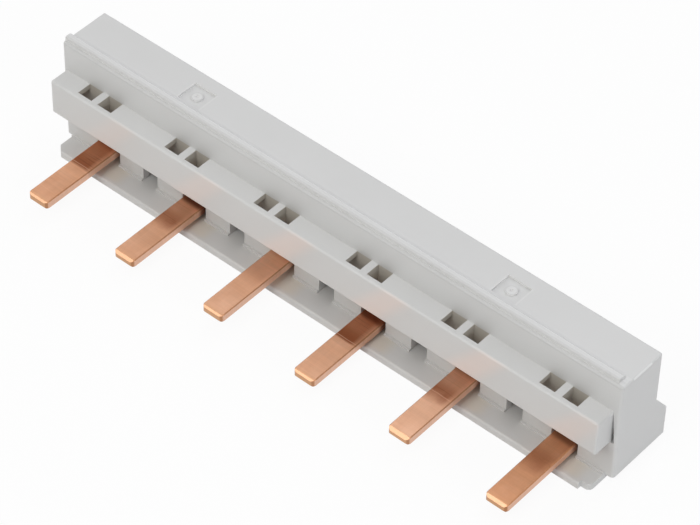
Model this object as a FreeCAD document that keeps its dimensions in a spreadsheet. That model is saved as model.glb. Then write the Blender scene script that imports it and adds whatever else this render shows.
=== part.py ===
# Three-pole busbar for two motor starters side by side.
#
# Frame, in millimetres: X along the housing, with 0 at its middle; Y from the tongues
# towards the back, with 0 at the front wall's face; Z up from the underside of the base.
# Three copper rails stand on edge in a grey housing. Each has two tongues that are bent
# forward out of its lower edge, so the six tongues lie in one row in front of the housing.

import FreeCAD, Part
import math
import os
import Sketcher

SIZES = {
    # tongues and housing length
    "pitch": 15.0,              # from one tongue to the next
    "end_margin": 7.4,          # from the outer tongue's middle to the housing's end
    # housing section
    "housing_height": 15.8,     # from the housing's lower edge to its roof
    "front_wall": 1.2,
    "rear_wall": 1.2,
    "end_wall": 1.2,
    "roof": 1.2,
    "foot_reach": 2.45,         # how far the rear foot stands out behind the upper rear wall
    "foot_height": 4.4,         # upright part of the rear foot
    "foot_slope": 3.2,          # height of the sloping shoulder above it
    "edge_round": 0.3,          # rounding of the outer edges
    "corner_round": 0.45,       # rounding of the upright front edge at the right end
    "left_round": 0.15,         # the left end is crisper
    "sill_reach": 0.35,         # thin sill along the foot of the front wall
    "sill_height": 0.3,
    # bead along the front of the roof
    "bead_inset": 0.45,
    "bead_width": 1.2,
    "bead_height": 0.6,
    "bead_round": 0.25,         # its front edge; its rear falls away in a quarter circle
    # ledge across the front, with its pairs of windows
    "ledge_drop": 4.5,          # from the roof down to the ledge's top
    "ledge_height": 5.4,
    "ledge_reach": 2.95,
    "ledge_inset_left": 0.35,   # from the housing's left end to the ledge
    "ledge_inset_right": 0.93,  # from the ledge and the bead to the housing's right end
    "ledge_roof": 0.8,
    "ledge_skin": 0.75,         # the ledge's front and end walls
    "ledge_round": 0.28,
    "notch_width": 0.48,        # wedge-shaped notch in the wall beside the ledge's right end
    "notch_drop": 0.2,          # its point, below the ledge's top
    "notch_skin": 0.35,         # wall left in front of where it opens into the housing
    "window_width": 2.35,
    "window_bridge": 1.05,      # rib between the two windows of a pair
    # openings in the lower edge of the front wall
    "opening_width": 4.0,
    "opening_headroom": 1.48,   # above the tongue
    "slot_width": 2.5,
    "slot_shift": 0.14,         # how far each slot is left of the middle between two tongues
    "slot_height": 3.6,
    # gate recesses in the roof
    "gate_inset": 19.6,         # from the housing's ends
    "gate_setback": 3.8,        # from the roof's rear edge
    "gate_width": 3.6,
    "gate_depth": 3.4,          # from front to back
    "gate_sink": 0.3,
    "gate_boss": 0.8,           # radius
    "gate_boss_drop": 0.1,      # the boss stays this much below the roof
    "gate_dimple": 0.25,        # radius
    "gate_dimple_sink": 0.15,
    # copper rails and the strips between them
    "rail_thickness": 1.2,
    "separator_thickness": 0.55,
    "stack_play": 0.1,          # on each side of each rail and strip
    "roof_play": 0.2,           # between the rails and the roof
    "rail_end_play": 0.6,
    "leg_length": 1.78,         # from the tongue's top up to the strip's lower edge
    "bend_radius": 0.5,         # inside the bend
    "tongue_width": 3.3,
    "tongue_reach": 13.15,      # from the front wall to the tip
    "tongue_gap": 0.92,         # between the tongue and the base plate
    "tip_relief": 0.25,         # bevel under the tip
    "tip_corner": 0.6,          # rounding of the tip's corners, seen from above
    "tongue_bevel": 0.12,       # bevel of the tongue's long edges
    # how much each tongue is bent up or down from its level, as the photographed one is
    "lift_one": 0.28,
    "lift_two": -0.11,
    "lift_three": 0.46,
    "lift_four": -0.42,
    "lift_five": 0.33,
    "lift_six": -0.25,
    # bevel on top of each tip
    "bevel_one": 0.22,
    "bevel_two": 0.34,
    "bevel_three": 0.22,
    "bevel_four": 0.24,
    "bevel_five": 0.4,
    "bevel_six": 0.34,
    # base plate
    "base_thickness": 1.0,
    "lip_reach": 3.3,
    "lip_corner": 0.9,
    "lip_round": 0.25,
    "base_inset_left": 0.95,
    "base_inset_right": 1.3,
    "base_inset_rear": 0.3,
    "tab_width": 1.35,          # rounded tab at the lip's right end
    "tab_step": 0.6,            # how far it stays behind the lip
    "tab_round": 0.75,
    # cradles that carry the rails, and snap hooks
    "cradle_width": 1.6,
    "cradle_slot": 0.4,         # depth of the slots for the separators
    "cradle_back": 0.9,         # tooth behind the rear rail
    "cradle_tooth": 1.0,        # its height above the rails' lower edge
    "hook_width": 4.0,
    "hook_thickness": 0.8,
    "hook_height": 3.9,
    "hook_play": 0.15,
    "hook_catch": 2.85,         # from the base plate's top up to the barb's underside
    "barb_reach": 0.35,
    "barb_height": 0.3,
}

PHASES = 3
GROUPS = 2                      # three-pole devices that the busbar feeds
TONGUES = PHASES * GROUPS
LIFTS = ["lift_one", "lift_two", "lift_three", "lift_four", "lift_five", "lift_six"]
BEVELS = ["bevel_one", "bevel_two", "bevel_three", "bevel_four", "bevel_five", "bevel_six"]
RAILS = ["phase_rail_front", "phase_rail_middle", "phase_rail_rear"]
SEPARATORS = ["separator_front", "separator_rear"]
SHEET = "sizes"


class Length:
    """A length that carries both its value and the expression that it comes from."""

    def __init__(self, text, value):
        self.text = text
        self.value = value

    def join(self, sign, other, value):
        other_text = other.text if isinstance(other, Length) else f"{other} mm"
        return Length(f"({self.text} {sign} {other_text})", value)

    def __add__(self, other):
        return self.join("+", other, self.value + plain(other))

    def __sub__(self, other):
        return self.join("-", other, self.value - plain(other))

    def __neg__(self):
        return Length(f"(0 mm - {self.text})", -self.value)

    def __mul__(self, factor):
        return Length(f"({self.text} * {factor})", self.value * factor)

    def __truediv__(self, factor):
        return Length(f"({self.text} / {factor})", self.value / factor)


def plain(number):
    return number.value if isinstance(number, Length) else number


class Sizes:
    """The driving sizes by name, such as s.pitch."""

    def __init__(self, values):
        for name, value in values.items():
            setattr(self, name, Length(f"(<<{SHEET}>>.{name} * 1 mm)", value))


s = Sizes(SIZES)
ZERO = Length("0 mm", 0.0)

# places that several pieces share
length = s.pitch * (TONGUES - 1) + s.end_margin * 2
left = -(length / 2)
right = length / 2
first_tongue = -(s.pitch * (TONGUES - 1) / 2)

base_top = s.base_thickness
roof_top = base_top + s.housing_height
roof_under = roof_top - s.roof
ledge_top = roof_top - s.ledge_drop
ledge_bottom = ledge_top - s.ledge_height
ledge_left = left + s.ledge_inset_left
ledge_right = right - s.ledge_inset_right
foot_top = base_top + s.foot_height
shoulder_top = foot_top + s.foot_slope

tongue_under = base_top + s.tongue_gap
tongue_top = tongue_under + s.rail_thickness
rail_low = tongue_top + s.leg_length
rail_high = roof_under - s.roof_play
opening_top = tongue_top + s.opening_headroom

rail_step = s.rail_thickness + s.separator_thickness + s.stack_play * 2
rail_front = [s.front_wall + s.stack_play + rail_step * k for k in range(PHASES)]
separator_front = [rail_front[k] + s.rail_thickness + s.stack_play for k in range(PHASES - 1)]
inner_rear = rail_front[-1] + s.rail_thickness + s.stack_play
depth = inner_rear + s.rear_wall
foot_rear = depth + s.foot_reach
foot_inner = foot_rear - s.rear_wall


def make_sheet(doc):
    sheet = doc.addObject("Spreadsheet::Sheet", SHEET)
    for row, (name, value) in enumerate(SIZES.items(), start=1):
        sheet.set(f"A{row}", name)
        sheet.set(f"B{row}", str(value))
        sheet.setAlias(f"B{row}", name)
    doc.recompute()
    return sheet


def make_body(doc, name):
    body = doc.addObject("PartDesign::Body", name)
    body.Label = name
    return body


def base_plane(body, role):
    return next(item for item in body.Origin.OriginFeatures if item.Role == role)


def new_sketch(body, name, plane, offset):
    """An empty sketch on one of the body's own planes, moved along that plane's normal."""
    sketch = body.newObject("Sketcher::SketchObject", name)
    sketch.AttachmentSupport = [(base_plane(body, plane), "")]
    sketch.MapMode = "FlatFace"
    sketch.AttachmentOffset = FreeCAD.Placement(FreeCAD.Vector(0, 0, offset.value), FreeCAD.Rotation())
    sketch.setExpression("AttachmentOffset.Base.z", offset.text)
    return sketch


def pin_point(sketch, geometry, end, point):
    """Hold one end of a sketch element at a place that is worked out from the sizes."""
    for kind, place in zip(("DistanceX", "DistanceY"), point):
        index = sketch.addConstraint(Sketcher.Constraint(kind, -1, 1, geometry, end, place.value))
        sketch.setExpression(f"Constraints[{index}]", place.text)


def add_outline(sketch, points, arcs=None):
    """A closed outline through the points; arcs maps a point's number to (centre, radius, turn)."""
    arcs = arcs or {}
    first = sketch.GeometryCount
    count = len(points)
    for k, start in enumerate(points):
        end = points[(k + 1) % count]
        a = FreeCAD.Vector(start[0].value, start[1].value, 0)
        b = FreeCAD.Vector(end[0].value, end[1].value, 0)
        if k in arcs:
            centre, radius, turn = arcs[k]
            sketch.addGeometry(quarter_arc(a, b, centre, radius, turn), False)
        else:
            sketch.addGeometry(Part.LineSegment(a, b), False)
    for k in range(count):
        following = (k + 1) % count
        # an arc that turns clockwise is stored the other way round
        end = 1 if k in arcs and arcs[k][2] < 0 else 2
        start = 2 if following in arcs and arcs[following][2] < 0 else 1
        sketch.addConstraint(Sketcher.Constraint("Coincident", first + k, end, first + following, start))
        pin_point(sketch, first + k, 3 - end, points[k])
        if k in arcs:
            radius = arcs[k][1]
            index = sketch.addConstraint(Sketcher.Constraint("Radius", first + k, radius.value))
            sketch.setExpression(f"Constraints[{index}]", radius.text)


def quarter_arc(a, b, centre, radius, turn):
    middle = FreeCAD.Vector(centre[0].value, centre[1].value, 0)
    angles = [math.atan2(p.y - middle.y, p.x - middle.x) for p in ((a, b) if turn > 0 else (b, a))]
    circle = Part.Circle(middle, FreeCAD.Vector(0, 0, 1), radius.value)
    return Part.ArcOfCircle(circle, angles[0], angles[1])


def add_circle(sketch, centre, radius):
    middle = FreeCAD.Vector(centre[0].value, centre[1].value, 0)
    index = sketch.addGeometry(Part.Circle(middle, FreeCAD.Vector(0, 0, 1), radius.value), False)
    pin_point(sketch, index, 3, centre)
    constraint = sketch.addConstraint(Sketcher.Constraint("Radius", index, radius.value))
    sketch.setExpression(f"Constraints[{constraint}]", radius.text)


def rectangle(low_x, high_x, low_y, high_y):
    return [(low_x, low_y), (high_x, low_y), (high_x, high_y), (low_x, high_y)]


def extrude(body, kind, name, sketch, distance, reverse=False, both_sides=False):
    """A Pad or a Pocket of the sketch, over a length that is worked out from the sizes."""
    feature = body.newObject(f"PartDesign::{kind}", name)
    feature.Profile = sketch
    feature.Length = distance.value
    feature.setExpression("Length", distance.text)
    feature.Reversed = reverse
    feature.Midplane = both_sides
    sketch.Visibility = False
    body.Tip = feature
    return feature


def repeat_along_x(body, name, features, spacing, count):
    pattern = body.newObject("PartDesign::LinearPattern", name)
    pattern.Originals = features
    pattern.Direction = (base_plane(body, "X_Axis"), [""])
    span = spacing * (count - 1)
    pattern.Length = span.value
    pattern.setExpression("Length", span.text)
    pattern.Occurrences = count
    body.Tip = pattern
    return pattern


def edges_where(shape, test):
    """Names of the edges whose two ends and middle all pass the test."""
    names = []
    for number, edge in enumerate(shape.Edges, start=1):
        ends = [vertex.Point for vertex in edge.Vertexes]
        middle = edge.valueAt((edge.FirstParameter + edge.LastParameter) / 2)
        if len(ends) == 2 and all(test(p) for p in ends + [middle]):
            names.append(f"Edge{number}")
    return names


def dress_edges(doc, body, kind, name, radius, test):
    """A Fillet or a Chamfer on the edges of the body that pass the test."""
    doc.recompute()
    base = body.Tip
    feature = body.newObject(f"PartDesign::{kind}", name)
    feature.Base = (base, edges_where(base.Shape, test))
    socket = "Radius" if kind == "Fillet" else "Size"
    setattr(feature, socket, radius.value)
    feature.setExpression(socket, radius.text)
    body.Tip = feature
    return feature


def near(a, b):
    return abs(a - plain(b)) < 1e-4


def housing_section():
    """Outer section of the housing, seen along X: upright walls, sloping shoulder and rear foot."""
    return [(ZERO, base_top), (foot_rear, base_top), (foot_rear, foot_top),
            (depth, shoulder_top), (depth, roof_top), (ZERO, roof_top)]


def cavity_section():
    """Inner section, a wall's thickness inside the outer one, also along the shoulder."""
    a, b = s.foot_reach, s.foot_slope
    lean_text = f"((sqrt({a.text} * {a.text} + {b.text} * {b.text}) - {b.text}) / {a.text})"
    lean = (math.hypot(a.value, b.value) - b.value) / a.value
    shift = Length(f"({s.rear_wall.text} * {lean_text})", s.rear_wall.value * lean)
    return [(s.front_wall, ZERO), (foot_inner, ZERO), (foot_inner, foot_top - shift),
            (inner_rear, shoulder_top - shift), (inner_rear, roof_under), (s.front_wall, roof_under)]


def bead_section():
    """Bead on the roof: upright in front, falling to the roof in a quarter circle behind."""
    near_side, far_side = s.bead_inset, s.bead_inset + s.bead_width
    crown = roof_top + s.bead_height
    rear, front = far_side - s.bead_height, near_side + s.bead_round
    spring = crown - s.bead_round
    points = [(near_side, roof_under), (far_side, roof_under), (far_side, roof_top),
              (rear, crown), (front, crown), (near_side, spring)]
    return points, {2: ((rear, roof_top), s.bead_height, 1), 4: ((front, spring), s.bead_round, 1)}


def add_ledge(doc, body):
    """Hollow ledge across the front, open below, with a rib and two windows at each tongue."""
    run = length - s.ledge_inset_left - s.ledge_inset_right
    sketch = new_sketch(body, "ledge_section", "YZ_Plane", ledge_left)
    add_outline(sketch, rectangle(-s.ledge_reach, s.front_wall, ledge_bottom, ledge_top))
    extrude(body, "Pad", "ledge", sketch, run)

    def ledge_outside(p):
        faces = [near(p.y, -s.ledge_reach), near(p.x, ledge_left) or near(p.x, ledge_right),
                 near(p.z, ledge_top) or near(p.z, ledge_bottom)]
        return p.y < 1e-4 and sum(faces) > 1

    dress_edges(doc, body, "Fillet", "ledge_rounding", s.ledge_round, ledge_outside)

    inner_front = -s.ledge_reach + s.ledge_skin
    sketch = new_sketch(body, "ledge_hollow_section", "YZ_Plane", ledge_left + s.ledge_skin)
    add_outline(sketch, rectangle(inner_front, ZERO, ledge_bottom - s.sill_height, ledge_top - s.ledge_roof))
    extrude(body, "Pocket", "ledge_hollow", sketch, run - s.ledge_skin * 2, reverse=True)

    sketch = new_sketch(body, "ledge_rib_section", "YZ_Plane", first_tongue - s.window_bridge / 2)
    add_outline(sketch, rectangle(inner_front, ZERO, ledge_bottom, ledge_top - s.ledge_roof))
    rib = extrude(body, "Pad", "ledge_rib", sketch, s.window_bridge)
    repeat_along_x(body, "ledge_ribs", [rib], s.pitch, TONGUES)

    sketch = new_sketch(body, "window_outline", "XY_Plane", ledge_top)
    half = s.window_bridge / 2
    for near_edge, far_edge in ((-half - s.window_width, -half), (half, half + s.window_width)):
        add_outline(sketch, rectangle(first_tongue + near_edge, first_tongue + far_edge, inner_front, ZERO))
    windows = extrude(body, "Pocket", "window_pair", sketch, s.ledge_roof)
    repeat_along_x(body, "window_pairs", [windows], s.pitch, TONGUES)


def add_end_notch(body):
    """Wedge-shaped notch beside the ledge's right end; behind a thin skin it opens into the housing."""
    east = ledge_right + s.notch_width
    sketch = new_sketch(body, "notch_outline", "XZ_Plane", ZERO)
    add_outline(sketch, [(ledge_right, ledge_bottom), (east, ledge_bottom), (ledge_right, ledge_top - s.notch_drop)])
    extrude(body, "Pocket", "notch", sketch, s.front_wall)

    sketch = new_sketch(body, "notch_rear_outline", "XZ_Plane", -s.notch_skin)
    add_outline(sketch, rectangle(right - s.end_wall * 1.5, east, ledge_bottom, ledge_top - s.ledge_roof))
    extrude(body, "Pocket", "notch_rear", sketch, s.front_wall)


def add_wall_cut(body, name, middle, width, top, count):
    """Notches in the lower edge of the front wall and its sill."""
    sketch = new_sketch(body, f"{name}_outline", "XZ_Plane", s.sill_reach)
    add_outline(sketch, rectangle(middle - width / 2, middle + width / 2, base_top, top))
    cut = extrude(body, "Pocket", name, sketch, s.sill_reach + s.front_wall)
    repeat_along_x(body, f"{name}s", [cut], s.pitch, count)


def add_gate_recesses(body):
    """Square recesses where the mould was filled, each with a low round boss and a dimple."""
    middle = (left + s.gate_inset, depth - s.gate_setback)
    half_x, half_y = s.gate_width / 2, s.gate_depth / 2
    sketch = new_sketch(body, "gate_outline", "XY_Plane", roof_top)
    add_outline(sketch, rectangle(middle[0] - half_x, middle[0] + half_x, middle[1] - half_y, middle[1] + half_y))
    add_circle(sketch, middle, s.gate_boss)
    square = extrude(body, "Pocket", "gate_recess", sketch, s.gate_sink)

    sketch = new_sketch(body, "gate_boss_outline", "XY_Plane", roof_top)
    add_circle(sketch, middle, s.gate_boss)
    boss = extrude(body, "Pocket", "gate_boss_top", sketch, s.gate_boss_drop)

    sketch = new_sketch(body, "gate_dimple_outline", "XY_Plane", roof_top)
    add_circle(sketch, middle, s.gate_dimple)
    dimple = extrude(body, "Pocket", "gate_dimple", sketch, s.gate_boss_drop + s.gate_dimple_sink)
    repeat_along_x(body, "gate_recesses", [square, boss, dimple], length - s.gate_inset * 2, 2)


def add_snap_pockets(body):
    """Blind pockets inside the rear foot, where the base plate's hooks catch."""
    clear = s.hook_play
    low = base_top + s.hook_catch - clear
    high = base_top + s.hook_height + clear
    sketch = new_sketch(body, "snap_pocket_section", "YZ_Plane", first_tongue + s.pitch / 2 - s.hook_width / 2 - clear)
    add_outline(sketch, rectangle(foot_inner - clear, foot_inner + s.barb_reach, low, high))
    cut = extrude(body, "Pocket", "snap_pocket", sketch, s.hook_width + clear * 2, reverse=True)
    repeat_along_x(body, "snap_pockets", [cut], s.pitch, TONGUES - 1)


def make_housing(doc):
    body = make_body(doc, "housing")
    sketch = new_sketch(body, "housing_section", "YZ_Plane", ZERO)
    add_outline(sketch, housing_section())
    extrude(body, "Pad", "block", sketch, length, both_sides=True)

    sketch = new_sketch(body, "sill_section", "YZ_Plane", left + s.base_inset_left)
    add_outline(sketch, rectangle(-s.sill_reach, s.front_wall, base_top, base_top + s.sill_height))
    extrude(body, "Pad", "sill", sketch, length - s.base_inset_left - s.base_inset_right)

    add_ledge(doc, body)
    round_block(doc, body)

    sketch = new_sketch(body, "bead_section", "YZ_Plane", left)
    add_outline(sketch, *bead_section())
    extrude(body, "Pad", "bead", sketch, length - s.ledge_inset_right)

    sketch = new_sketch(body, "cavity_section", "YZ_Plane", ZERO)
    add_outline(sketch, cavity_section())
    extrude(body, "Pocket", "cavity", sketch, length - s.end_wall * 2, both_sides=True)

    add_wall_cut(body, "tongue_opening", first_tongue, s.opening_width, opening_top, TONGUES)
    slot_top = base_top + s.slot_height
    slot_middle = first_tongue + s.pitch / 2 - s.slot_shift
    add_wall_cut(body, "wall_slot", slot_middle, s.slot_width, slot_top, TONGUES - 1)
    add_end_notch(body)
    add_gate_recesses(body)
    add_snap_pockets(body)
    return body


def round_block(doc, body):
    """Soft outer edges, as a moulding has them."""
    def front_corner(p):
        return near(p.x, right) and near(p.y, 0)

    def rear_edge(p):
        return near(p.x, right) and p.y > depth.value - 1e-4

    def upper_edge(p):
        return near(p.z, roof_top) and (near(p.x, right) or near(p.y, 0) or near(p.y, depth))

    def left_side(p):
        return near(p.x, left)

    dress_edges(doc, body, "Fillet", "corner_rounding", s.corner_round, front_corner)
    dress_edges(doc, body, "Fillet", "rear_rounding", s.edge_round, rear_edge)
    dress_edges(doc, body, "Fillet", "roof_rounding", s.edge_round, upper_edge)
    dress_edges(doc, body, "Fillet", "left_rounding", s.left_round, left_side)


def rail_section(front, lift, bevel):
    """Bent section of one tongue: down its leg, round the bend and forward to a bevelled tip."""
    thickness, inside = s.rail_thickness, s.bend_radius
    outside = inside + thickness
    rear = front + thickness
    top, under = tongue_top + lift, tongue_under + lift
    tip, relief = -s.tongue_reach, s.tip_relief
    centre = (front - inside, top + inside)
    points = [(rear, rail_low), (front, rail_low), (front, top + inside), (front - inside, top),
              (tip + bevel, top), (tip, top - bevel), (tip, under + relief), (tip + relief, under),
              (front - inside, under), (rear, top + inside)]
    return points, {2: (centre, inside, -1), 8: (centre, outside, 1)}


def make_rail(doc, name, phase):
    """One phase: a strip on edge with a bent tongue for each device."""
    body = make_body(doc, name)
    front = rail_front[phase]
    ends = s.end_wall + s.rail_end_play
    sketch = new_sketch(body, f"{name}_strip_outline", "XZ_Plane", -front)
    add_outline(sketch, rectangle(left + ends, right - ends, rail_low, rail_high))
    extrude(body, "Pad", f"{name}_strip", sketch, s.rail_thickness, reverse=True)

    middles = []
    for group in range(GROUPS):
        place = group * PHASES + phase
        middle = first_tongue + s.pitch * place
        middles.append(middle)
        sketch = new_sketch(body, f"{name}_tongue_section_{group + 1}", "YZ_Plane", middle - s.tongue_width / 2)
        add_outline(sketch, *rail_section(front, getattr(s, LIFTS[place]), getattr(s, BEVELS[place])))
        extrude(body, "Pad", f"{name}_tongue_{group + 1}", sketch, s.tongue_width)

    tip, turn = -s.tongue_reach, s.tip_corner
    sketch = new_sketch(body, f"{name}_tip_outline", "XY_Plane", rail_low)
    for middle in middles:
        west, east = middle - s.tongue_width / 2, middle + s.tongue_width / 2
        add_outline(sketch, [(west, tip), (west + turn, tip), (west, tip + turn)],
                    {1: ((west + turn, tip + turn), turn, -1)})
        add_outline(sketch, [(east, tip), (east, tip + turn), (east - turn, tip)],
                    {1: ((east - turn, tip + turn), turn, -1)})
    extrude(body, "Pocket", f"{name}_tip_corners", sketch, rail_low)

    sides = [middle.value + side * s.tongue_width.value / 2 for middle in middles for side in (-1, 1)]

    def long_edge(p):
        straight = (tip + turn).value - 1e-4 < p.y < (front - s.bend_radius).value + 1e-4
        return straight and p.z < rail_low.value and any(near(p.x, side) for side in sides)

    dress_edges(doc, body, "Chamfer", f"{name}_long_edges", s.tongue_bevel, long_edge)
    return body


def make_separator(doc, name, place):
    """Insulating strip that stands in the cradles between two rails."""
    body = make_body(doc, name)
    front = separator_front[place]
    ends = s.end_wall + s.rail_end_play / 2
    sketch = new_sketch(body, f"{name}_outline", "XZ_Plane", -front)
    low = rail_low - s.cradle_slot
    high = roof_under - s.roof_play / 2
    add_outline(sketch, rectangle(left + ends, right - ends, low, high))
    extrude(body, "Pad", f"{name}_strip", sketch, s.separator_thickness, reverse=True)
    return body


def base_outline():
    """Plan of the base plate, with the lip's cut corner and its rounded tab."""
    west, east = left + s.base_inset_left, right - s.base_inset_right
    north, south = foot_rear - s.base_inset_rear, -s.lip_reach
    step = east - s.tab_width
    tab_south = south + s.tab_step
    turn = s.tab_round
    points = [(west, north), (west, south + s.lip_corner), (west + s.lip_corner, south), (step, south),
              (step, tab_south), (east - turn, tab_south), (east, tab_south + turn), (east, north)]
    return points, {5: ((east - turn, tab_south + turn), turn, 1)}


def cradle_section():
    """Comb that carries the rails on its lands and the separators in its slots."""
    points = [(rail_front[0], base_top), (rail_front[0], rail_low)]
    low = rail_low - s.cradle_slot
    for front in separator_front:
        near_side, far_side = front - s.stack_play, front + s.separator_thickness + s.stack_play
        points += [(near_side, rail_low), (near_side, low), (far_side, low), (far_side, rail_low)]
    tooth = rail_front[-1] + s.rail_thickness + s.stack_play
    tooth_top = rail_low + s.cradle_tooth
    points += [(tooth, rail_low), (tooth, tooth_top), (tooth + s.cradle_back, tooth_top),
               (tooth + s.cradle_back, base_top)]
    return points


def hook_section():
    """Snap hook: a springy arm with a barb towards the rear wall."""
    rear = foot_inner - s.hook_play
    front = rear - s.hook_thickness
    top = base_top + s.hook_height
    catch = base_top + s.hook_catch
    tip = rear + s.barb_reach
    return [(front, base_top), (rear, base_top), (rear, catch), (tip, catch), (tip, catch + s.barb_height),
            (rear, top), (front, top)]


def make_base(doc):
    body = make_body(doc, "base_plate")
    sketch = new_sketch(body, "base_outline", "XY_Plane", ZERO)
    add_outline(sketch, *base_outline())
    extrude(body, "Pad", "plate", sketch, s.base_thickness)

    # the cradles stand behind the wall between each opening and the next slot
    block_middle = (s.opening_width / 2 + s.pitch / 2 - s.slot_width / 2) / 2
    sketch = new_sketch(body, "cradle_section", "YZ_Plane", first_tongue + block_middle - s.cradle_width / 2)
    add_outline(sketch, cradle_section())
    cradle = extrude(body, "Pad", "cradle", sketch, s.cradle_width)
    repeat_along_x(body, "cradles", [cradle], s.pitch, TONGUES)

    sketch = new_sketch(body, "hook_section", "YZ_Plane", first_tongue + s.pitch / 2 - s.hook_width / 2)
    add_outline(sketch, hook_section())
    hook = extrude(body, "Pad", "snap_hook", sketch, s.hook_width)
    repeat_along_x(body, "snap_hooks", [hook], s.pitch, TONGUES - 1)

    def lip_front(p):
        return near(p.y, -s.lip_reach) and near(p.z, base_top)

    dress_edges(doc, body, "Fillet", "lip_rounding", s.lip_round, lip_front)
    return body


def check_document(doc, bodies):
    for item in doc.Objects:
        if "Invalid" in item.State or "Error" in item.State:
            raise RuntimeError(f"{item.Name} failed: {item.State}")
    for body in bodies:
        shape = body.Shape
        if shape.isNull() or not shape.isValid() or len(shape.Solids) != 1:
            raise RuntimeError(f"{body.Label} has no valid single solid")


def main():
    doc = FreeCAD.newDocument("busbar")
    make_sheet(doc)
    bodies = [make_housing(doc), make_base(doc)]
    bodies += [make_rail(doc, name, phase) for phase, name in enumerate(RAILS)]
    bodies += [make_separator(doc, name, place) for place, name in enumerate(SEPARATORS)]
    doc.recompute()
    check_document(doc, bodies)
    os.makedirs("parts", exist_ok=True)
    for body in bodies:
        body.Shape.exportStep(f"parts/{body.Label}.step")
        print(body.Label, f"{body.Shape.Volume:.1f} mm3")


main()
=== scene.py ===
# %% [markdown]
# # A three-pole busbar in grey plastic and copper
# A busbar like this feeds motor starters that stand side by side. Three copper rails are shut
# inside a moulded grey housing, and six flat copper tongues stick out of it in one row.
# The shapes come from the CAD model, so this lesson is about what makes them look real: a soft
# moulded plastic, rolled copper with tarnish, and plain studio light.

# %% Load the CAD model
import math

import bmesh
import bpy
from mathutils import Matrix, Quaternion, Vector

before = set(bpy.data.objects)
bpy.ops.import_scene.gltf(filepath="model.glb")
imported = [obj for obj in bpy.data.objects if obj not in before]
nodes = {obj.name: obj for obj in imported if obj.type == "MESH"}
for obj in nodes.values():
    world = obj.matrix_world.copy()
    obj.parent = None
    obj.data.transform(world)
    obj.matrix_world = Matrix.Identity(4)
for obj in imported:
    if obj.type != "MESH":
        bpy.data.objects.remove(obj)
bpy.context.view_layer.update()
MM = 0.001
print("nodes:", sorted(nodes))

# %% [markdown]
# ## The camera
# The photograph was taken from far away with a long lens, so parallel edges stay almost parallel.
# The camera looks down at the middle of the housing from the right. A quaternion from
# `to_track_quat` points it, and one small turn about its own axis gives the slight tilt of
# the photograph.

# %% Set the camera
VIEW_FROM = Vector((184.13, -217.78, 297.77)) * MM
VIEW_TO = Vector((2.19, 1.62, 7.41)) * MM
VIEW_ROLL = math.radians(1.53)
LENS = 169.75
SENSOR_WIDTH = 36.0
NEAREST_SEEN = 20 * MM

camera_data = bpy.data.cameras.new("photo_camera")
camera_data.lens = LENS
camera_data.sensor_width = SENSOR_WIDTH
camera_data.clip_start = NEAREST_SEEN
camera = bpy.data.objects.new("photo_camera", camera_data)
aim = (VIEW_TO - VIEW_FROM).to_track_quat("-Z", "Y")
camera.rotation_mode = "QUATERNION"
camera.rotation_quaternion = aim @ Quaternion((0, 0, 1), VIEW_ROLL)
camera.location = VIEW_FROM
bpy.context.scene.collection.objects.link(camera)
bpy.context.scene.camera = camera
bpy.context.scene.view_settings.view_transform = "Standard"
print("camera distance in mm:", round((VIEW_TO - VIEW_FROM).length / MM, 1))

# %% [markdown]
# ## A small kit for shader nodes
# Every finish below is a chain of shader nodes. One helper adds a node, sets its sockets and
# links what comes in, and a second does the same for a Math node, so that each material reads as
# a short list. The other helpers follow where a finish first needs them.

# %% Node helpers


def add_node(tree, kind, inputs=None, **settings):
    """Add a node; each input is a plain value or another node's output socket."""
    node = tree.nodes.new(kind)
    for name, value in settings.items():
        setattr(node, name, value)
    for name, value in (inputs or {}).items():
        socket = node.inputs[name]
        if isinstance(value, bpy.types.NodeSocket):
            tree.links.new(value, socket)
        else:
            socket.default_value = value
    return node


def calc(tree, operation, first, second=0.0, third=0.0, clamp=False):
    """One Math node; gives its output."""
    node = add_node(tree, "ShaderNodeMath", {0: first, 1: second, 2: third}, operation=operation)
    node.use_clamp = clamp
    return node.outputs[0]


print("kit:", add_node.__name__, "and", calc.__name__)

# %% [markdown]
# ## White studio
# A wide pale floor carries the busbar. The photograph's background is pure white, so camera rays
# see mostly an even white there, and just enough of the lit floor for a soft contact shadow.
# Mirror rays get the same white, because the copper should reflect what the eye sees.

# %% White for the eye
WHITE = (1, 1, 1, 1)
WHITE_SHARE = 0.93


def seen_by_the_eye(tree):
    """1 for camera, mirror and glass rays, and 0 for the rays that carry the room's light."""
    path = add_node(tree, "ShaderNodeLightPath").outputs
    eye = calc(tree, "MAXIMUM", path["Is Camera Ray"], path["Is Glossy Ray"])
    return calc(tree, "MAXIMUM", eye, path["Is Transmission Ray"])


def white_for_the_eye(tree, shader):
    """Mix an even white into a shader for the rays that the eye follows."""
    share = calc(tree, "MULTIPLY", seen_by_the_eye(tree), WHITE_SHARE)
    white = add_node(tree, "ShaderNodeEmission", {"Color": WHITE, "Strength": 1.0}).outputs[0]
    return add_node(tree, "ShaderNodeMixShader", {0: share, 1: shader, 2: white}).outputs[0]


print("share of even white:", WHITE_SHARE)

# %% Floor
FLOOR_SIZE = 6.0
FLOOR_TONE = 0.88


def new_material(name):
    """A material with a Principled BSDF; gives the material, its tree and the shader."""
    material = bpy.data.materials.new(name)
    material.use_nodes = True
    return material, material.node_tree, material.node_tree.nodes["Principled BSDF"]


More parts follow.
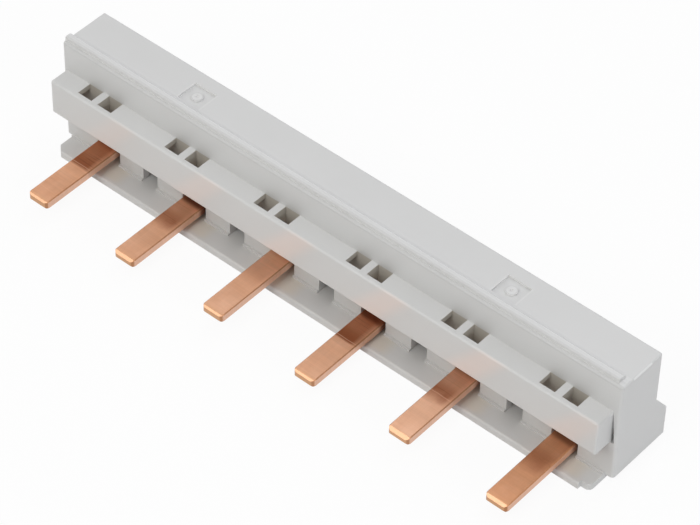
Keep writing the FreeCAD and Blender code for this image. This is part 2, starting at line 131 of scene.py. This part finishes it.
floor_mesh = bpy.data.meshes.new("floor")
plane = bmesh.new()
bmesh.ops.create_grid(plane, x_segments=1, y_segments=1, size=FLOOR_SIZE / 2)
plane.to_mesh(floor_mesh)
plane.free()
floor = bpy.data.objects.new("floor", floor_mesh)
bpy.context.scene.collection.objects.link(floor)
floor_material, tree, _ = new_material("pale_floor")
tree.nodes.clear()
paint = add_node(tree, "ShaderNodeBsdfDiffuse",
                 {"Color": (FLOOR_TONE, FLOOR_TONE, FLOOR_TONE, 1)}).outputs[0]
add_node(tree, "ShaderNodeOutputMaterial", {"Surface": white_for_the_eye(tree, paint)})
floor.data.materials.append(floor_material)
print("floor width in m:", FLOOR_SIZE)

# %% Air
AIR_STRENGTH = 0.15

world = bpy.data.worlds.new("studio_air")
world.use_nodes = True
bpy.context.scene.world = world
tree = world.node_tree
tree.nodes.clear()
air = add_node(tree, "ShaderNodeBackground", {"Color": WHITE, "Strength": AIR_STRENGTH})
eye_white = add_node(tree, "ShaderNodeBackground", {"Color": WHITE, "Strength": 1.0})
pick = add_node(tree, "ShaderNodeMixShader", {0: seen_by_the_eye(tree), 1: air.outputs[0],
                                              2: eye_white.outputs[0]})
add_node(tree, "ShaderNodeOutputWorld", {"Surface": pick.outputs[0]})
print("air strength:", AIR_STRENGTH)

# %% [markdown]
# ## Soft lamps
# Product photographs like this one are lit from all round, so that no face goes dark. Softboxes
# stand on every side. The one in front is the strongest, those behind and at the right are a
# little cool, and a small warm one fills the front left corner. The roof comes out brightest,
# then the ledge, then the upright faces.

# %% Lamps
LAMPS = {
    "left_softbox": {
        "place": (-0.8, -0.2, 0.4), "size": 0.5, "power": 1.6, "tone": (1, 1, 1)},
    "rear_softbox": {
        "place": (0, 0.6, 0.6), "size": 0.5, "power": 1.85, "tone": (0.93, 0.95, 1)},
    "right_softbox": {
        "place": (0.8, -0.1, 0.3), "size": 0.5, "power": 2.05, "tone": (0.96, 0.98, 1)},
    "front_softbox": {
        "place": (0, -0.6, 0.6), "size": 0.4, "power": 2.45, "tone": (1, 1, 0.97)},
    "top_softbox": {
        "place": (0, 0, 0.8), "size": 0.8, "power": 1.65, "tone": (0.96, 0.97, 1)},
    "corner_softbox": {
        "place": (-0.5, -0.6, 0.4), "size": 0.4, "power": 0.35, "tone": (1, 0.98, 0.82)},
}
for name, lamp in LAMPS.items():
    light = bpy.data.lights.new(name, "AREA")
    light.size = lamp["size"]
    light.energy = lamp["power"]
    light.color = lamp["tone"]
    lamp_object = bpy.data.objects.new(name, light)
    lamp_object.location = lamp["place"]
    lamp_object.rotation_mode = "QUATERNION"
    lamp_object.rotation_quaternion = (-Vector(lamp["place"])).to_track_quat("-Z", "Y")
    bpy.context.scene.collection.objects.link(lamp_object)
    print(name, lamp["power"], "W")

# %% [markdown]
# ## Moulded grey plastic
# The housing is glass-filled nylon from a spark-eroded mould: light grey, satin, and never
# perfectly even. A node group makes what every plastic piece here shares: faint cloudy patches
# of tone, a gloss that follows them, and a very fine grain for the Bump node.

# %% Group: moulded surface
CLOUD_SCALE, CLOUD_DETAIL = 90.0, 3.0
GRAIN_SCALE, GRAIN_DETAIL = 5200.0, 2.0
SATIN = (0.38, 0.5)


def noise(tree, place, scale, detail):
    """A Noise texture; gives its grey value."""
    return add_node(tree, "ShaderNodeTexNoise",
                    {"Vector": place, "Scale": scale, "Detail": detail}).outputs["Fac"]


def remap(tree, value, low, high, to_low=0.0, to_high=1.0, smooth=False):
    """A clamped Map Range node; gives its output."""
    node = add_node(tree, "ShaderNodeMapRange", {"Value": value, "From Min": low, "From Max": high,
                                                 "To Min": to_low, "To Max": to_high})
    if smooth:
        node.interpolation_type = "SMOOTHSTEP"
    return node.outputs["Result"]


def make_group(name, inputs, outputs):
    """An empty node group with named sockets."""
    group = bpy.data.node_groups.new(name, "ShaderNodeTree")
    for label, kind, default in inputs:
        socket = group.interface.new_socket(label, in_out="INPUT", socket_type=kind)
        socket.default_value = default
    for label, kind in outputs:
        group.interface.new_socket(label, in_out="OUTPUT", socket_type=kind)
    return group, group.nodes.new("NodeGroupInput"), group.nodes.new("NodeGroupOutput")


moulded_surface, given, result = make_group(
    "moulded_surface",
    [("Tone", "NodeSocketColor", (0.6, 0.6, 0.6, 1)), ("Patches", "NodeSocketFloat", 0.03)],
    [("Color", "NodeSocketColor"), ("Roughness", "NodeSocketFloat"), ("Grain", "NodeSocketFloat")])
tree = moulded_surface
place = add_node(tree, "ShaderNodeTexCoord").outputs["Object"]
cloud = noise(tree, place, CLOUD_SCALE, CLOUD_DETAIL)
gain = calc(tree, "MULTIPLY_ADD", calc(tree, "SUBTRACT", cloud, 0.5), given.outputs["Patches"], 1.0)
tone = add_node(tree, "ShaderNodeVectorMath", {0: given.outputs["Tone"], 1: gain},
                operation="MULTIPLY").outputs["Vector"]
tree.links.new(tone, result.inputs["Color"])
tree.links.new(remap(tree, cloud, 0.0, 1.0, *SATIN), result.inputs["Roughness"])
tree.links.new(noise(tree, place, GRAIN_SCALE, GRAIN_DETAIL), result.inputs["Grain"])
print("moulded surface nodes:", len(tree.nodes))

# %% Grey plastic materials
LIGHT_GREY = (0.648, 0.645, 0.64)
STRIP_WHITE = (0.6, 0.59, 0.55)
MOULDING_PATCHES, STRIP_PATCHES = 0.06, 0.03
GRAIN_STRENGTH = 0.06
GRAIN_HEIGHT = 0.02 * MM


def moulded_plastic(name, tone, patches):
    """A plastic finish that takes its tone, gloss and grain from the shared group."""
    material, tree, shader = new_material(name)
    surface = tree.nodes.new("ShaderNodeGroup")
    surface.node_tree = moulded_surface
    surface.inputs["Tone"].default_value = (*tone, 1)
    surface.inputs["Patches"].default_value = patches
    bump = add_node(tree, "ShaderNodeBump", {"Height": surface.outputs["Grain"],
                                             "Strength": GRAIN_STRENGTH, "Distance": GRAIN_HEIGHT})
    tree.links.new(surface.outputs["Color"], shader.inputs["Base Color"])
    tree.links.new(surface.outputs["Roughness"], shader.inputs["Roughness"])
    tree.links.new(bump.outputs["Normal"], shader.inputs["Normal"])
    return material


housing_plastic = moulded_plastic("housing_plastic_finish", LIGHT_GREY, MOULDING_PATCHES)
base_plastic = moulded_plastic("base_plastic_finish", LIGHT_GREY, MOULDING_PATCHES)
strip_plastic = moulded_plastic("insulation_finish", STRIP_WHITE, STRIP_PATCHES)
print("plastic finishes:", housing_plastic.name, base_plastic.name, strip_plastic.name)

# %% [markdown]
# ## Masks and tints
# Painted shade, painted highlights and painted copper reflections each change the grey in one small
# place. A second material on the faces there could do it, but a mask on Object coordinates leaves
# the mesh alone, and on a CAD node they are simply the place in the frame. A mask is 1 in a box and
# 0 outside it, with an edge a hair wide, and a tint multiplies the grey where its mask is 1.

# %% Mask and tint helpers
HAIR = 0.02 * MM


def object_axes(tree):
    """X, Y and Z of the Object coordinates."""
    place = add_node(tree, "ShaderNodeTexCoord").outputs["Object"]
    return add_node(tree, "ShaderNodeSeparateXYZ", {0: place}).outputs


def product(tree, first, *others):
    """Multiply values; a product of masks is 1 only where all of them are."""
    for other in others:
        first = calc(tree, "MULTIPLY", first, other)
    return first


def between(tree, value, low, high):
    """1 between two places and 0 outside them."""
    return product(tree, remap(tree, value, low - HAIR, low), remap(tree, value, high + HAIR, high))


def blend_colour(tree, factor, first, second, mode="MIX"):
    """A colour Mix node; colours are three numbers or another node's output."""
    node = add_node(tree, "ShaderNodeMix", {"Factor": factor}, data_type="RGBA", blend_type=mode)
    for name, value in (("A", first), ("B", second)):
        socket = [item for item in node.inputs if item.name == name and item.type == "RGBA"][0]
        if isinstance(value, bpy.types.NodeSocket):
            tree.links.new(value, socket)
        else:
            socket.default_value = (*value, 1)
    return [item for item in node.outputs if item.type == "RGBA"][0]


def tint(tree, tone, mask, times):
    """Multiply a tone by a colour, or by one number, where a mask is 1."""
    colour = times if isinstance(times, tuple) else (times, times, times)
    return blend_colour(tree, mask, tone, blend_colour(tree, 1.0, tone, colour, "MULTIPLY"))


print("a mask's edge in mm:", HAIR / MM)

# %% [markdown]
# ## Painted shade in the windows
# The hollow behind the small windows gets a brownish painted shade, darker than the plastic
# outside.
# The mask is the hollow's own box, so the ledge's outer faces stay clean.

# %% Painted shade in the windows
LEDGE_TOP = 12.3 * MM
LEDGE_BOTTOM = 6.9 * MM
HOLLOW_LEFT, HOLLOW_RIGHT = -43.8 * MM, 43.2 * MM
HOLLOW_FRONT, HOLLOW_REAR = -2.25 * MM, 0.05 * MM
HOLLOW_SHADE = (0.80, 0.755, 0.68)

tree = housing_plastic.node_tree
base_colour = tree.nodes["Principled BSDF"].inputs["Base Color"]
axes = object_axes(tree)
hollow = product(tree, between(tree, axes["X"], HOLLOW_LEFT, HOLLOW_RIGHT),
                 between(tree, axes["Y"], HOLLOW_FRONT, HOLLOW_REAR),
                 between(tree, axes["Z"], LEDGE_BOTTOM, LEDGE_TOP - 2 * HAIR))
# Painted shade: the hollow's grey is multiplied by a brownish tone.
grey = tint(tree, base_colour.links[0].from_socket, hollow, HOLLOW_SHADE)
print("painted_shade from Z", LEDGE_BOTTOM / MM, "to", LEDGE_TOP / MM)

# %% [markdown]
# ## The bead along the roof
# The low bead along the roof's front edge gets painted highlights on its top, front and rear and on
# the roof behind it, and painted shade on its shoulder and on the wall's edge in front of it. Each
# band below is a long box on the housing, given in millimetres by its lowest and highest Y and Z,
# and the number that the grey is multiplied by there.

# %% Painted highlight and shade bands
PAINTED_LIGHT_BANDS = {
    "bead_top": {"y": (0.74, 1.2), "z": (17.25, 17.42), "lift": 1.05},
    "bead_shoulder": {"y": (0.42, 0.72), "z": (17.1, 17.42), "lift": 0.96},
    "bead_front": {"y": (0.4, 0.72), "z": (16.81, 17.08), "lift": 1.08},
    "bead_rear": {"y": (1.05, 1.67), "z": (16.81, 17.38), "lift": 1.15},
    "roof_behind_bead": {"y": (1.64, 1.95), "z": (16.75, 16.82), "lift": 1.07},
    "wall_edge": {"y": (-0.02, 0.36), "z": (16.42, 16.83), "lift": 0.91},
}
# Painted light: a lift above 1 is a painted highlight, and one below 1 is painted shade.
for band in PAINTED_LIGHT_BANDS.values():
    low_y, high_y = band["y"]
    low_z, high_z = band["z"]
    mask = product(tree, between(tree, axes["Y"], low_y * MM, high_y * MM),
                   between(tree, axes["Z"], low_z * MM, high_z * MM))
    grey = tint(tree, grey, mask, band["lift"])
print("bands on the housing:", sorted(PAINTED_LIGHT_BANDS))

# %% [markdown]
# ## The gate marks
# The plastic flowed into the mould at two places on the roof, and each is a square recess with a
# small round boss. Their steps, the roof beside them and the top of the boss get painted
# highlights, and the recess gets painted shade along its left and rear steps and round the boss.
# The two marks lie equally far left and right of the middle, so X minus the distance on its own
# side folds both into one, and each mask is made once.

# %% Round the gate marks
ROOF_TOP = 16.8 * MM
GATE_MIDDLE = 25.3 * MM
GATE_HALF = 1.8 * MM
GATE_FRONT, GATE_REAR = 2.2 * MM, 5.6 * MM
GATE_FLOOR = 16.5 * MM
STEP_TOP = 16.78 * MM
STEP_REACH = 0.03 * MM
STEP_HIGHLIGHT = 1.26
STEEP = (0.97, 0.6)
RIM_WIDTH = 0.2 * MM
RIM_HIGHLIGHT = 1.06

side_of_middle = calc(tree, "SIGN", axes["X"])
from_gate = calc(tree, "SUBTRACT", axes["X"], calc(tree, "MULTIPLY", side_of_middle, GATE_MIDDLE))
beside_gate = calc(tree, "ABSOLUTE", from_gate)
over_gate = between(tree, axes["Y"], GATE_FRONT, GATE_REAR)

facing = add_node(tree, "ShaderNodeTexCoord").outputs["Normal"]
upward = add_node(tree, "ShaderNodeSeparateXYZ", {0: facing}).outputs["Z"]
# Painted highlight on the recess's steps.
steps = product(tree, between(tree, axes["Y"], GATE_FRONT - STEP_REACH, GATE_REAR + STEP_REACH),
                between(tree, axes["Z"], GATE_FLOOR, STEP_TOP),
                remap(tree, upward, *STEEP, smooth=True))
grey = tint(tree, grey, steps, STEP_HIGHLIGHT)
# Painted highlight on the roof's rim round each recess.
rim = product(tree, between(tree, beside_gate, GATE_HALF, GATE_HALF + RIM_WIDTH), over_gate,
              between(tree, axes["Z"], ROOF_TOP - HAIR, ROOF_TOP + HAIR))
grey = tint(tree, grey, rim, RIM_HIGHLIGHT)
print("gate marks at X in mm:", -GATE_MIDDLE / MM, GATE_MIDDLE / MM)

# %% Inside the gate marks
LEFT_SHADE = 0.8 * MM
REAR_SHADE = 0.6 * MM
RECESS_SHADE = 0.91
BOSS_Y = 3.9 * MM
BOSS_TOP = 16.7 * MM
BOSS_INNER, BOSS_EDGE, RING_EDGE = 0.6 * MM, 0.66 * MM, 0.95 * MM
RING_SHADE = 0.95
BOSS_HIGHLIGHT = 1.07

# Painted shade along the recess's left and rear steps.
recess = product(tree, over_gate, remap(tree, axes["Z"], GATE_FLOOR + 2 * HAIR, GATE_FLOOR + HAIR),
                 remap(tree, beside_gate, GATE_HALF + HAIR, GATE_HALF))
left_shade = remap(tree, from_gate, LEFT_SHADE - GATE_HALF, -GATE_HALF, smooth=True)
rear_shade = remap(tree, axes["Y"], GATE_REAR - REAR_SHADE, GATE_REAR, smooth=True)
recess_shade = product(tree, calc(tree, "MAXIMUM", left_shade, rear_shade), recess)
grey = tint(tree, grey, recess_shade, RECESS_SHADE)

off_boss = add_node(tree, "ShaderNodeCombineXYZ",
                    {"X": from_gate, "Y": calc(tree, "SUBTRACT", axes["Y"], BOSS_Y)}).outputs[0]
from_boss = add_node(tree, "ShaderNodeVectorMath", {0: off_boss},
                     operation="LENGTH").outputs["Value"]
# Painted shade in a ring round the boss.
ring = product(tree, between(tree, from_boss, BOSS_EDGE, RING_EDGE),
               remap(tree, axes["Z"], BOSS_TOP + 2 * HAIR, BOSS_TOP + HAIR))
grey = tint(tree, grey, ring, RING_SHADE)
# Painted highlight on the boss's top.
boss_top = product(tree, remap(tree, from_boss, BOSS_EDGE, BOSS_INNER),
                   between(tree, axes["Z"], GATE_FLOOR + HAIR, BOSS_TOP + HAIR))
grey = tint(tree, grey, boss_top, BOSS_HIGHLIGHT)
print("boss radius in mm:", BOSS_EDGE / MM)

# %% [markdown]
# ## Copper glow
# The bright tongues throw a faint peach glow onto the front of the ledge, up and to the right of
# each one, and warm the shade beside them on the base plate. Both are tints, because the rough
# plastic mirrors too little of the copper by itself. The tongues stand one pitch apart, so the
# fraction of X over the pitch says how far the nearest one is, for all six at once. A pair such as
# the reach says where a mask starts and where it is full. Two more numbers are its strengths there.

# %% Glow on the ledge
PITCH = 15.0 * MM
FIRST_TONGUE = -37.5 * MM
LEDGE_FRONT = -2.95 * MM
GLOW = (1.13, 1.025, 0.985)
GLOW_SHIFT = 1.0 * MM
GLOW_SLANT = 0.85
GLOW_REACH = (3.4 * MM, 0.6 * MM)
GLOW_SKIN = (LEDGE_FRONT + 0.3 * MM, LEDGE_FRONT + 0.05 * MM)
LEFT_FADE = (-45 * MM, 0.0, 0.35, 1.0)
RIGHT_FADE = (45 * MM, 36 * MM, 0.45, 1.0)


def beside_tongues(tree, x, shift, reach):
    """1 near a line that lies at a shift from each tongue's middle, and 0 far from it."""
    cell = calc(tree, "MULTIPLY_ADD", x, 1 / PITCH, 0.5 - (FIRST_TONGUE + shift) / PITCH)
    aside = calc(tree, "ABSOLUTE", calc(tree, "SUBTRACT", calc(tree, "FRACT", cell), 0.5))
    return remap(tree, calc(tree, "MULTIPLY", aside, PITCH), *reach, smooth=True)


climb = calc(tree, "SUBTRACT", axes["Z"], LEDGE_BOTTOM)
slanted = calc(tree, "MULTIPLY_ADD", climb, -GLOW_SLANT, axes["X"])
glow = product(tree, beside_tongues(tree, slanted, GLOW_SHIFT, GLOW_REACH),
               remap(tree, axes["Y"], *GLOW_SKIN),
               remap(tree, axes["X"], *LEFT_FADE), remap(tree, axes["X"], *RIGHT_FADE))
tree.links.new(tint(tree, grey, glow, GLOW), base_colour)
print("housing nodes:", len(tree.nodes))

# %% Warm shade on the base plate
BROWN_SHADE = (1.03, 0.985, 0.90)
SHADE_SHIFT = 1.8 * MM
SHADE_REACH = (3.2 * MM, 1.2 * MM)
BEHIND_LIP = (-3.3 * MM, -2.3 * MM)

tree = base_plastic.node_tree
base_colour = tree.nodes["Principled BSDF"].inputs["Base Color"]
axes = object_axes(tree)
brown = product(tree, beside_tongues(tree, axes["X"], SHADE_SHIFT, SHADE_REACH),
                remap(tree, axes["Y"], *BEHIND_LIP, smooth=True))
tree.links.new(tint(tree, base_colour.links[0].from_socket, brown, BROWN_SHADE), base_colour)
print("base plate nodes:", len(tree.nodes))

# %% [markdown]
# ## Rolled copper
# The tongues are stamped from rolled copper strip. Their tops are salmon pink with fine rolling
# lines, the sheared sides are paler, the pressed bevel at each tip gets a painted highlight, the
# rounded long edges a painted dark reflection, and the front below the bevel is a light gold.
# Nearer the housing lies a brown film from heat and handling, and no two tongues have the same one.
# Under the ledge some get a painted dark red-brown shade. All of it follows the place on the
# metal, so Object coordinates are enough: how far along the tongue, how far across it, and which
# tongue it is.

# %% Where a point lies on its tongue
TONGUE_HALF = 1.65 * MM
TONGUE_ROOT = LEDGE_FRONT
TONGUE_TIP = -13.15 * MM

copper, tree, shader = new_material("copper_finish")
coordinates = add_node(tree, "ShaderNodeTexCoord").outputs
place = coordinates["Object"]
axes = add_node(tree, "ShaderNodeSeparateXYZ", {0: place}).outputs
facing = add_node(tree, "ShaderNodeSeparateXYZ", {0: coordinates["Normal"]}).outputs

row = calc(tree, "MULTIPLY_ADD", axes["X"], 1 / PITCH, 0.5 - FIRST_TONGUE / PITCH)
across = calc(tree, "SUBTRACT", calc(tree, "FRACT", row), 0.5)
across = calc(tree, "MULTIPLY", across, PITCH / TONGUE_HALF)
along = add_node(tree, "ShaderNodeMapRange",
                 {"Value": axes["Y"], "From Min": TONGUE_ROOT, "From Max": TONGUE_TIP},
                 clamp=False).outputs["Result"]
print("tongue length shown in mm:", round((TONGUE_ROOT - TONGUE_TIP) / MM, 2))

# %% [markdown]
# ## Tarnish
# A colour ramp with constant steps works as a small table: its six steps are the six tongues, and
# its red, green and blue carry three numbers for each one. They say how strong the film is, how
# softly it ends, and how far the tongue's tone goes from pink to orange overall. A film that ends
# sharply stays strong up to the ledge, and a soft one is only a band.

# %% Three numbers for each tongue
TARNISH = [
    {"amount": 0.95, "softness": 0.05, "warmth": 0.60},
    {"amount": 0.85, "softness": 0.26, "warmth": 0.50},
    {"amount": 0.32, "softness": 0.40, "warmth": 0.35},
    {"amount": 1.00, "softness": 0.03, "warmth": 0.45},
    {"amount": 0.95, "softness": 0.24, "warmth": 0.15},
    {"amount": 0.85, "softness": 0.42, "warmth": 1.00},
]
TONGUES = len(TARNISH)


def tongue_table(tree, row, colours):
    """A colour ramp with one constant step for each tongue; gives that tongue's colour."""
    ramp = add_node(tree, "ShaderNodeValToRGB", {"Fac": calc(tree, "DIVIDE", row, TONGUES)})
    ramp.color_ramp.interpolation = "CONSTANT"
    while len(ramp.color_ramp.elements) < TONGUES:
        ramp.color_ramp.elements.new(0.5)
    for number, (element, colour) in enumerate(zip(ramp.color_ramp.elements, colours)):
        element.position = number / TONGUES
        element.color = (*colour, 1)
    return ramp.outputs["Color"]


table = tongue_table(tree, row, [tuple(tongue.values()) for tongue in TARNISH])
film_of = add_node(tree, "ShaderNodeSeparateColor", {"Color": table}).outputs
amount, softness, tongue_warmth = film_of["Red"], film_of["Green"], film_of["Blue"]
print("tarnish on", TONGUES, "tongues")

# %% Brown film
SMUDGE_SCALE, SMUDGE_DETAIL = 420.0, 4.0
FILM_END = 0.235
FILM_RISE = (-0.05, FILM_END - 0.02)
SHARP_AT_ROOT, SOFT_LOSS, LEAST_AT_ROOT = 0.8, -2.0, 0.03
FREE_MARGIN = (0.9, 0.45, 0.35, 1.0)


def mix_values(tree, share, first, second):
    """Go from one value to another as the share goes from 0 to 1."""
    return add_node(tree, "ShaderNodeMix", {"Factor": share, "A": first, "B": second}).outputs[0]


smudge = noise(tree, place, SMUDGE_SCALE, SMUDGE_DETAIL)
drift = calc(tree, "MULTIPLY_ADD", calc(tree, "SUBTRACT", smudge, 0.5), softness, along)
inside = calc(tree, "DIVIDE", calc(tree, "SUBTRACT", FILM_END, drift), softness)
inside = calc(tree, "ADD", inside, 0.5, clamp=True)
at_root = calc(tree, "MULTIPLY_ADD", softness, SOFT_LOSS, SHARP_AT_ROOT, clamp=True)
at_root = calc(tree, "MAXIMUM", at_root, LEAST_AT_ROOT)
rise = mix_values(tree, remap(tree, along, *FILM_RISE, smooth=True), at_root, 1.0)
film = product(tree, inside, rise, remap(tree, across, *FREE_MARGIN, smooth=True), amount)
print("film ends at", FILM_END, "of the tongue's length")

# %% [markdown]
# ## Rolling lines and scratches
# Rolled strip has fine lines across the tongue, and handling leaves a few along it. A noise that
# is stretched far in one direction gives both. They show in the tone, in the roughness and, very
# slightly, in the height.

# %% Fine lines
LINES_ACROSS = (150.0, 5200.0, 150.0)
LINES_ALONG = (6500.0, 130.0, 130.0)
LINE_DETAIL = 3.0
ROLLED_SHARE = 0.65
STREAKS = (0.55, 0.72, 0.0, 0.7)


def stretched_noise(tree, place, scales):
    """Noise drawn out into lines; each axis has its own scale."""
    drawn = add_node(tree, "ShaderNodeVectorMath", {0: place, 1: scales}, operation="MULTIPLY")
    return noise(tree, drawn.outputs[0], 1.0, LINE_DETAIL)


rolled = stretched_noise(tree, place, LINES_ACROSS)
handled = stretched_noise(tree, place, LINES_ALONG)
lines = calc(tree, "ADD", calc(tree, "MULTIPLY", rolled, ROLLED_SHARE),
             calc(tree, "MULTIPLY", handled, 1 - ROLLED_SHARE))
dark_streak = product(tree, remap(tree, rolled, *STREAKS, smooth=True), film)
print("share of the rolling lines:", ROLLED_SHARE)

# %% [markdown]
# ## Copper colours
# The colours are laid over each other as they lie on the metal: bare copper, the film, a scratch,
# then what the edges and faces show, with a painted highlight on the bevel and a painted dark
# reflection on the long edges, and last the painted dark red-brown shade at the roots. The film is
# darkest where it ends, and in its streaks. The metal is made brighter towards the housing, where
# the ledge shades it, because the photographed tongues hardly darken there.

# %% Bare metal and film
SALMON = (0.66, 0.395, 0.268)
ORANGE = (0.52, 0.262, 0.145)
FILM_BROWN = (0.33, 0.106, 0.043)
FILM_BLACK = (0.16, 0.06, 0.032)
WARMTH_SPREAD = 0.9
FILM_TAIL = (-0.05, 0.19, 0.0, 0.4)
BRIGHTER_UNDER_LEDGE = (0.6, -0.2, 0.97, 1.7)


def scale_tone(tree, tone, gain):
    """Multiply a tone by a value that changes over the surface."""
    even = add_node(tree, "ShaderNodeCombineXYZ", {"X": gain, "Y": gain, "Z": gain}).outputs[0]
    return blend_colour(tree, 1.0, tone, even, "MULTIPLY")


spread = calc(tree, "MULTIPLY_ADD", smudge, WARMTH_SPREAD, -WARMTH_SPREAD / 2)
warmth = calc(tree, "ADD", tongue_warmth, spread, clamp=True)
film_tail = product(tree, film, remap(tree, along, *FILM_TAIL, smooth=True))
tone = blend_colour(tree, warmth, SALMON, ORANGE)
tone = blend_colour(tree, film, tone, FILM_BROWN)
tone = blend_colour(tree, dark_streak, tone, FILM_BLACK)
tone = blend_colour(tree, film_tail, tone, FILM_BLACK)
tone = scale_tone(tree, tone, remap(tree, along, *BRIGHTER_UNDER_LEDGE))
print("film colours:", FILM_BROWN, FILM_BLACK)

# %% Scratch at the end of a strong film
SCRATCH = (0.86, 0.55, 0.38)
SCRATCH_PLACE = FILM_END - 0.015
SCRATCH_WAVER = 0.03
SCRATCH_WIDTH = (0.009, 0.003)
STRONG_FILM = (0.9, 0.94)
SCRATCH_STRENGTH = 0.45


def cover(tree, tone, mask, strength, colour):
    """Lay a colour over a tone, as strongly as a mask times a number says."""
    return blend_colour(tree, calc(tree, "MULTIPLY", mask, strength), tone, colour)


scratch_line = calc(tree, "MULTIPLY_ADD", smudge, SCRATCH_WAVER, along)
off_scratch = calc(tree, "ABSOLUTE", calc(tree, "SUBTRACT", scratch_line, SCRATCH_PLACE))
scratch = product(tree, remap(tree, off_scratch, *SCRATCH_WIDTH), remap(tree, amount, *STRONG_FILM))
tone = cover(tree, tone, scratch, SCRATCH_STRENGTH, SCRATCH)
print("scratch at", round(SCRATCH_PLACE, 3), "of the tongue's length")

# %% Edges and faces
FRONT_GOLD = (0.60, 0.345, 0.185)
RIM_DARK_REFLECTION = (0.40, 0.185, 0.085)
SIDE_PINK = (0.74, 0.48, 0.36)
BEVEL_HIGHLIGHT = (0.70, 0.395, 0.245)
AT_TIP = (0.93, 0.975)
LEVEL = (0.9, 0.97)
SLANTED = (0.35, 0.5)
SQUARE_ON = (0.85, 0.97)
NOT_SQUARE = (0.95, 0.85)

sideways = calc(tree, "ABSOLUTE", facing["X"])
forward = calc(tree, "MULTIPLY", facing["Y"], -1.0)
bevel = product(tree, remap(tree, forward, *SLANTED), remap(tree, facing["Z"], *SLANTED))
# The bevel's colour is a painted highlight, and the rounded long edge's a painted dark reflection.
FACES = {
    "top at the tip": {
        "mask": product(tree, remap(tree, along, *AT_TIP), remap(tree, facing["Z"], *LEVEL)),
        "strength": 0.5, "colour": FRONT_GOLD},
    "rounded long edge": {
        "mask": product(tree, remap(tree, sideways, *SLANTED), remap(tree, sideways, *NOT_SQUARE)),
        "strength": 0.7, "colour": RIM_DARK_REFLECTION},
    "sheared side": {
        "mask": remap(tree, sideways, *SQUARE_ON), "strength": 0.75, "colour": SIDE_PINK},
    "bevel": {"mask": bevel, "strength": 1.0, "colour": BEVEL_HIGHLIGHT},
    "front": {"mask": remap(tree, forward, *SQUARE_ON), "strength": 0.8, "colour": FRONT_GOLD},
}
for face in FACES.values():
    tone = cover(tree, tone, face["mask"], face["strength"], face["colour"])
print("edges and faces:", list(FACES))

# %% Painted shade at the roots, and fine lines
ROOT_SHADE_RED = (0.24, 0.07, 0.03)
ROOT_SHADE_AMOUNTS = (0.15, 0.85, 0.10, 0.8, 0.25, 0.5)
UNDER_LEDGE = (-0.175, -0.26)
LINE_SHADES = (0.3, 0.7, 0.92, 1.07)

# Painted shade: a dark red-brown on the roots deep under the ledge, its strength listed per tongue.
root_shade = product(tree, tongue_table(tree, row, [(dark, dark, dark) for dark in ROOT_SHADE_AMOUNTS]),
                    remap(tree, along, *UNDER_LEDGE, smooth=True))
tone = blend_colour(tree, root_shade, tone, ROOT_SHADE_RED)
tone = scale_tone(tree, tone, remap(tree, lines, *LINE_SHADES))
tree.links.new(tone, shader.inputs["Base Color"])
print("dark roots, first tongue to last:", ROOT_SHADE_AMOUNTS)

# %% [markdown]
# ## Copper gloss
# Bare copper is a metal, so Metallic is 1 and the colour above is the colour of its reflections.
# It is rolled and handled, not polished, so the roughness stays near a half and follows the fine
# lines. The pressed bevels are even.

# %% Gloss and relief
LINE_ROUGHNESS = (0.35, 0.65, 0.44, 0.52)
BEVEL_ROUGHNESS = 0.48
LINE_STRENGTH = 0.05
LINE_HEIGHT = 0.02 * MM

gloss = mix_values(tree, bevel, remap(tree, lines, *LINE_ROUGHNESS), BEVEL_ROUGHNESS)
relief = add_node(tree, "ShaderNodeBump", {"Height": lines, "Strength": LINE_STRENGTH,
                                           "Distance": LINE_HEIGHT})
tree.links.new(gloss, shader.inputs["Roughness"])
tree.links.new(relief.outputs["Normal"], shader.inputs["Normal"])
shader.inputs["Metallic"].default_value = 1.0
print("copper nodes:", len(tree.nodes))

# %% [markdown]
# ## Dress the CAD nodes
# Every piece keeps its CAD mesh, because the shapes are right as they are. It only gets its
# finish: grey for the two mouldings, copper for the three rails, and a pale white for the two
# insulating strips inside.

# %% Finishes
FINISHES = {"housing": housing_plastic, "base_plate": base_plastic,
            "phase_rail_front": copper, "phase_rail_middle": copper, "phase_rail_rear": copper,
            "separator_front": strip_plastic, "separator_rear": strip_plastic}
for name, material in FINISHES.items():
    nodes[name].data.materials.clear()
    nodes[name].data.materials.append(material)
print("dressed", len(FINISHES), "nodes")
